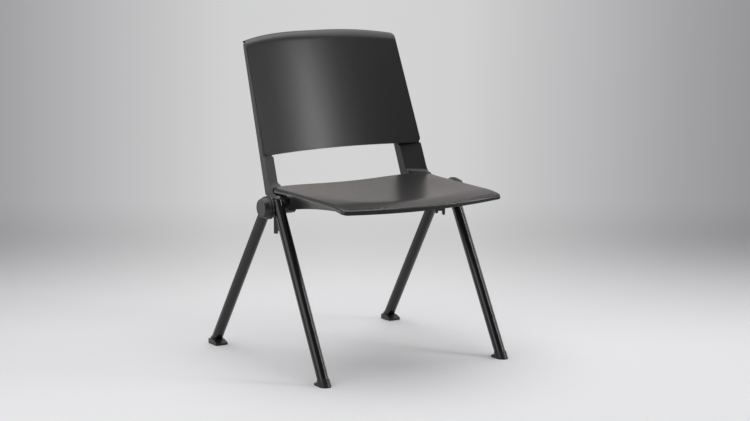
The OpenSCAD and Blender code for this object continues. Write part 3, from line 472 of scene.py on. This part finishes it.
def thickened(name, made, inside, wall_mm, edge_mm, material, body):
    """A sheet turned away from a point, given its wall inwards and its cut edges broken."""
    bmesh.ops.recalc_face_normals(made, faces=made.faces)
    face = max(made.faces, key=lambda f: (f.calc_center_median() - inside).length)
    if face.normal.dot(face.calc_center_median() - inside) < 0:
        bmesh.ops.reverse_faces(made, faces=made.faces)
    piece = riding(name, made, material, body)
    thick = piece.modifiers.new("wall", "SOLIDIFY")
    thick.thickness = wall_mm / 1000
    thick.offset = -1
    broken = piece.modifiers.new("broken_edges", "BEVEL")
    broken.width = edge_mm / 1000
    broken.segments = 3
    broken.limit_method = "ANGLE"
    broken.angle_limit = math.radians(50)
    return piece


seat_piece = thickened("moulded_seat", seat_mesh, inside=Vector((0, -100, -400)), wall_mm=5.0, edge_mm=0.8,
                       material=polypropylene, body="frame")
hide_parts("seat_shell")

# Under the seat, moulded in one with it: four round bosses, drafted towards their feet, that its screws bite
# into, and the tongue of each skirt below the scoop.
boss_x, boss_rows = 144.5, (-150, 45)
boss_foot, boss_foot_round, boss_root_round = 21.0, 7.0, 7.4
boss_root_below = 4.0
tongue_x, tongue_y, tongue_z = 229.5, -27.2, -4.4
tongue_wide, tongue_long, tongue_tall = 4.9, 10.4, 4.9
tongue_low, tongue_slope = -6.9, 0.4
boss_mesh = bmesh.new()
for flip in (-1, 1):
    for boss_y in boss_rows:
        boss_root = seat_top(flip * boss_x, boss_y) - boss_root_below
        bmesh.ops.create_cone(boss_mesh, cap_ends=True, segments=40, radius1=boss_foot_round,
                              radius2=boss_root_round, depth=boss_root - boss_foot,
                              matrix=Matrix.Translation((flip * boss_x, boss_y, (boss_foot + boss_root) / 2)))
    tongue = bmesh.ops.create_cube(boss_mesh, size=1, matrix=(
        Matrix.Translation((flip * tongue_x, tongue_y, tongue_z))
        @ Matrix.Diagonal((tongue_wide, tongue_long, tongue_tall, 1))))["verts"]
    for v in (v for v in tongue if v.co.z < tongue_z):
        v.co.z += (skirt_low(tongue_x, min(v.co.y, scoop_front)) - tongue_low) * tongue_slope
bmesh.ops.recalc_face_normals(boss_mesh, faces=boss_mesh.faces)
seat_details = riding("seat_bosses_and_tongues", boss_mesh, polypropylene, "frame")
finish_nodes(polypropylene, "seat_shell")
finish_nodes(bright_zinc, "seat_screws")

# Back arms: injection-moulded glass-filled nylon channels, open at the back with cross ribs. Each foot runs
# out level with the seat's corner and down to a boss round its torsion unit. A plug closes each upper end,
# under the panel's rolled edge.
crease_y = 59.0
recline = math.radians(-21.6)
arm_x = 238.0
arm_taper = math.radians(-2.1)
arm_end = 372.0
back_place = Matrix.Translation((0, crease_y, seat_rise)) @ Matrix.Rotation(recline, 4, "X")
arm_place = back_place @ Matrix.Translation((arm_x, 0, 0)) @ Matrix.Rotation(arm_taper, 4, "Y")
arm_nylon = moulded("glass_filled_nylon", "#1b1b1c", roughness=0.36, grain_mm=0.8, depth_mm=0.02,
                    edge_mm=2.0)
finish_nodes(arm_nylon, "left_back_arm", "right_back_arm")
# The plug's plan is a bar slanting back towards the chair's middle
plug_wide, plug_deep, plug_tall, plug_slant = 43.0, 9.1, 8.0, 33.5
plug_back, plug_seated, plug_edge = 13.0, 1.0, 0.9
plug_shape = Matrix(((plug_wide, 0, 0, -plug_wide / 2),
                     (-plug_slant, plug_deep, 0, plug_back + plug_slant / 2),
                     (0, 0, plug_tall, arm_end - plug_seated + plug_tall / 2),
                     (0, 0, 0, 1)))
plug_mesh = bmesh.new()
for flip in (1, -1):
    mirrored = Matrix.Diagonal((flip, 1, 1, 1))
    bmesh.ops.create_cube(plug_mesh, size=1, matrix=mirrored @ arm_place @ plug_shape)
bmesh.ops.bevel(plug_mesh, geom=plug_mesh.edges[:], offset=plug_edge, segments=2, profile=0.5, affect="EDGES",
                material=-1)
bmesh.ops.recalc_face_normals(plug_mesh, faces=plug_mesh.faces)
arm_plugs = riding("arm_end_plugs", plug_mesh, arm_nylon, "back")

# Back panel: one injection moulding in the same polypropylene as the seat, curved across and 5.6 mm thick.
# Its upper edge rolls over backwards, and its edge is broken all round. It is screwed to the arms from
# behind.
panel_proud = 3.0
panel_round = 740.0
panel_w_low, panel_w_top = 469.0, 446.0
panel_low, panel_top = 82.0, 389.5
low_rise, top_rise = 14.3, 26.5
low_corner, top_corner = 12.0, 17.0
top_flatness = 2.5
roll_deep, roll_tall = 18.0, 30.0
roll_end = 106
panel_sag = panel_round - math.sqrt(panel_round ** 2 - panel_w_low ** 2 / 4)


def panel_half(height, low, high):
    """Half the panel's width at a height, with its corners rounded."""
    half = (panel_w_low + (panel_w_top - panel_w_low) * (height - panel_low) / (panel_top - panel_low)) / 2
    for reach, corner in ((height - low, low_corner), (high - height, top_corner)):
        if reach < corner:
            half -= corner - math.sqrt(max(corner ** 2 - (corner - max(reach, 0)) ** 2, 0))
    return half


# Rows of the mesh up the flat, closer round its lower corners, and then round the roll in degrees
flat_steps = [0, 0.15, 0.6, 1.4, 2.6, 4.2, 6.2, 8.8, 12] + [12 + 13.3 * k for k in range(1, 20)]
flat_end = flat_steps[-1] + 10
roll_steps = [roll_end * k / 20 for k in range(21)]
panel_mesh = bmesh.new()
panel_rows = len(flat_steps) + len(roll_steps) - 1
bmesh.ops.create_grid(panel_mesh, x_segments=80, y_segments=panel_rows, size=1)
for v in panel_mesh.verts:
    across = math.sin(math.pi / 2 * v.co.x)
    row = round((v.co.y + 1) / 2 * panel_rows)
    low = panel_low + arch(across * panel_w_low / 2, panel_w_low / 2, low_rise)
    high = panel_top + top_rise * (1 - abs(across) ** top_flatness)
    if row < len(flat_steps):
        back_off = 0.0
        height = low + flat_steps[row] * (high - roll_tall - low) / flat_end
    else:
        turn = math.radians(roll_steps[row - len(flat_steps)])
        back_off = roll_deep * (1 - math.cos(turn))
        height = high - roll_tall + roll_tall * math.sin(turn)
    turn = math.asin(across * panel_half(height, low, high) / panel_round)
    out = panel_round + back_off
    v.co = back_place @ Vector((
        out * math.sin(turn), panel_sag - panel_round - panel_proud + out * math.cos(turn), height))
panel_piece = thickened("moulded_back_panel", panel_mesh, inside=back_place @ Vector((0, 900, 200)),
                        wall_mm=5.6, edge_mm=1.1, material=polypropylene, body="back")
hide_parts("back_panel")

# Behind the panel, moulded in one with it: four round bosses that stand on the arms' front strips and take
# the screws.
strip_turn = math.radians(-37.96)
strip_x, strip_y = -26.4, 27.1
fixing_rows = (150, 318)
fixing_round, fixing_tall = 7.0, 16.6
fixing_mesh = bmesh.new()
for fixing_height in fixing_rows:
    on_strip = Matrix.Translation((strip_x, strip_y, fixing_height)) @ Matrix.Rotation(strip_turn, 4, "Z")
    outwards = Matrix.Rotation(math.pi / 2, 4, "X") @ Matrix.Translation((0, 0, fixing_tall / 2))
    fixing_place = arm_place @ on_strip @ outwards
    for flip in (1, -1):
        bmesh.ops.create_cone(fixing_mesh, cap_ends=True, segments=40, radius1=fixing_round,
                              radius2=fixing_round, depth=fixing_tall,
                              matrix=Matrix.Diagonal((flip, 1, 1, 1)) @ fixing_place)
bmesh.ops.recalc_face_normals(fixing_mesh, faces=fixing_mesh.faces)
fixing_bosses = riding("panel_fixing_bosses", fixing_mesh, polypropylene, "back")
finish_nodes(polypropylene, "back_panel")
finish_nodes(bright_zinc, "panel_screws")
